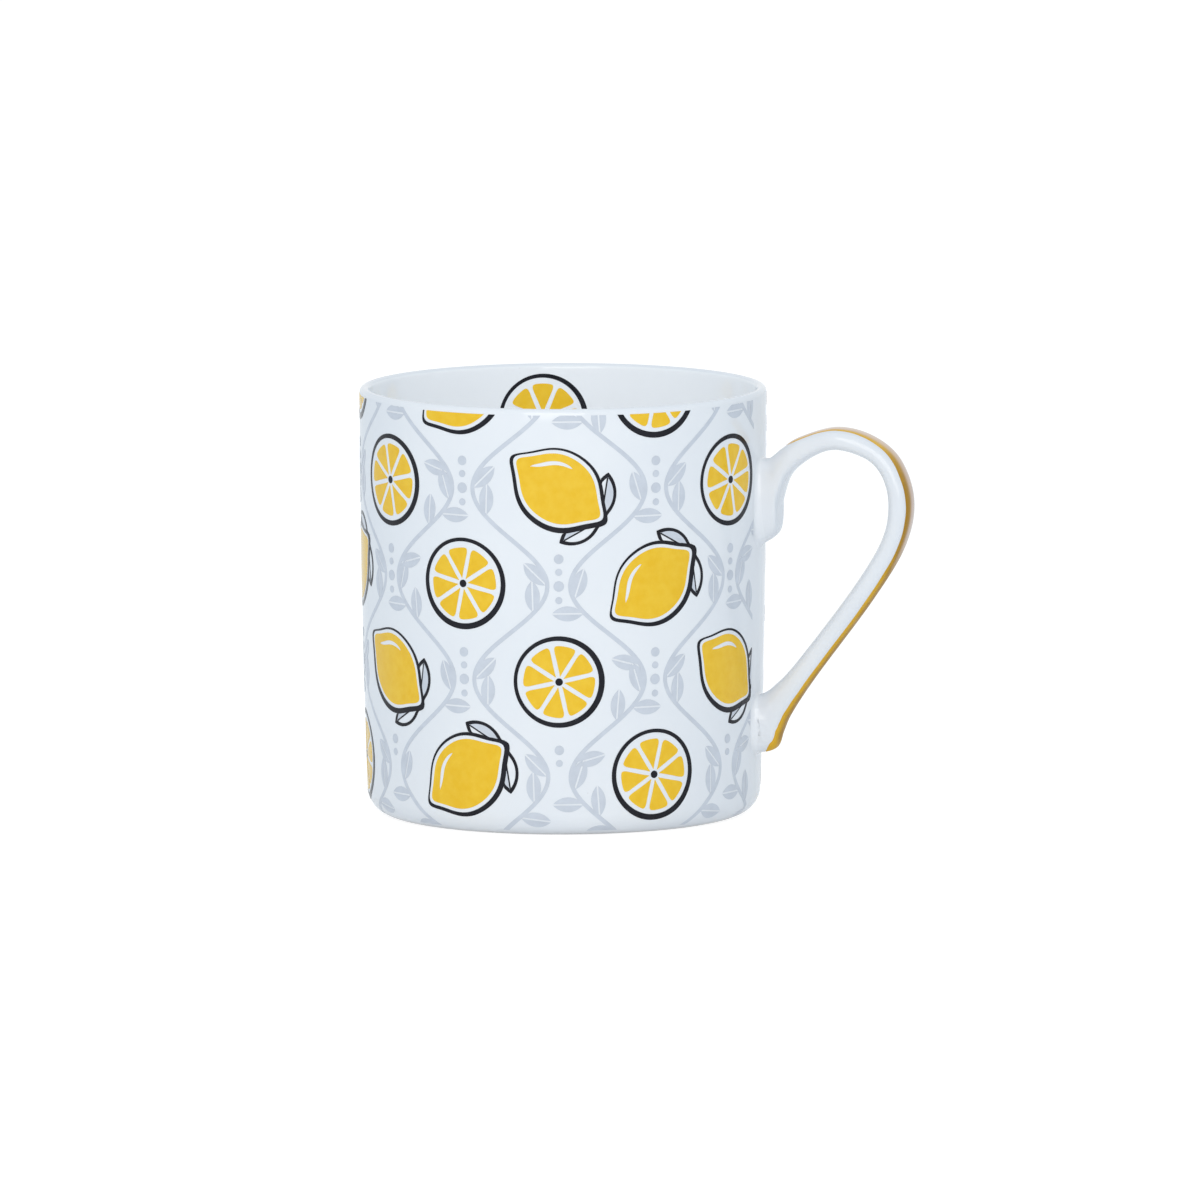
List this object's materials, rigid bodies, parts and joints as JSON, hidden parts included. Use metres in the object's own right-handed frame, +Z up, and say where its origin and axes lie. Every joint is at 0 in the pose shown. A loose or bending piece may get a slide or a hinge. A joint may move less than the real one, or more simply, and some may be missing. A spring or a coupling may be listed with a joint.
{
  "type": "mug",
  "caption": "Straight-sided bone china mug with a rounded lip, a recessed foot, an ear-shaped strap handle and a fired print round the wall; it holds a hot drink.",
  "frame": {"origin": "on the mug's axis, in the plane of the foot ring that meets the table", "axes": "+Z up along the mug's axis, +X towards the handle, +Y to the left of the handle seen from outside it"},
  "size_m": [0.1113, 0.0808, 0.085],
  "materials": {
    "china": "white bone china under clear gloss glaze",
    "slip": "white slip fillet under the same glaze",
    "handle_enamel": "golden yellow fired enamel, satin",
    "grey_ink": "pale grey fired transfer ink, gloss",
    "yellow_ink": "yellow fired transfer ink, gloss",
    "black_ink": "black fired transfer ink, gloss"
  },
  "bodies": {
    "root": {"mug_body": "china", "handle": "china", "upper_slip_joint": "slip", "lower_slip_joint": "slip", "handle_line": "handle_enamel", "outer_print_grey": "grey_ink", "outer_print_yellow": "yellow_ink", "outer_print_black": "black_ink", "inner_print_yellow": "yellow_ink", "inner_print_black": "black_ink"}
  },
  "joints": []
}
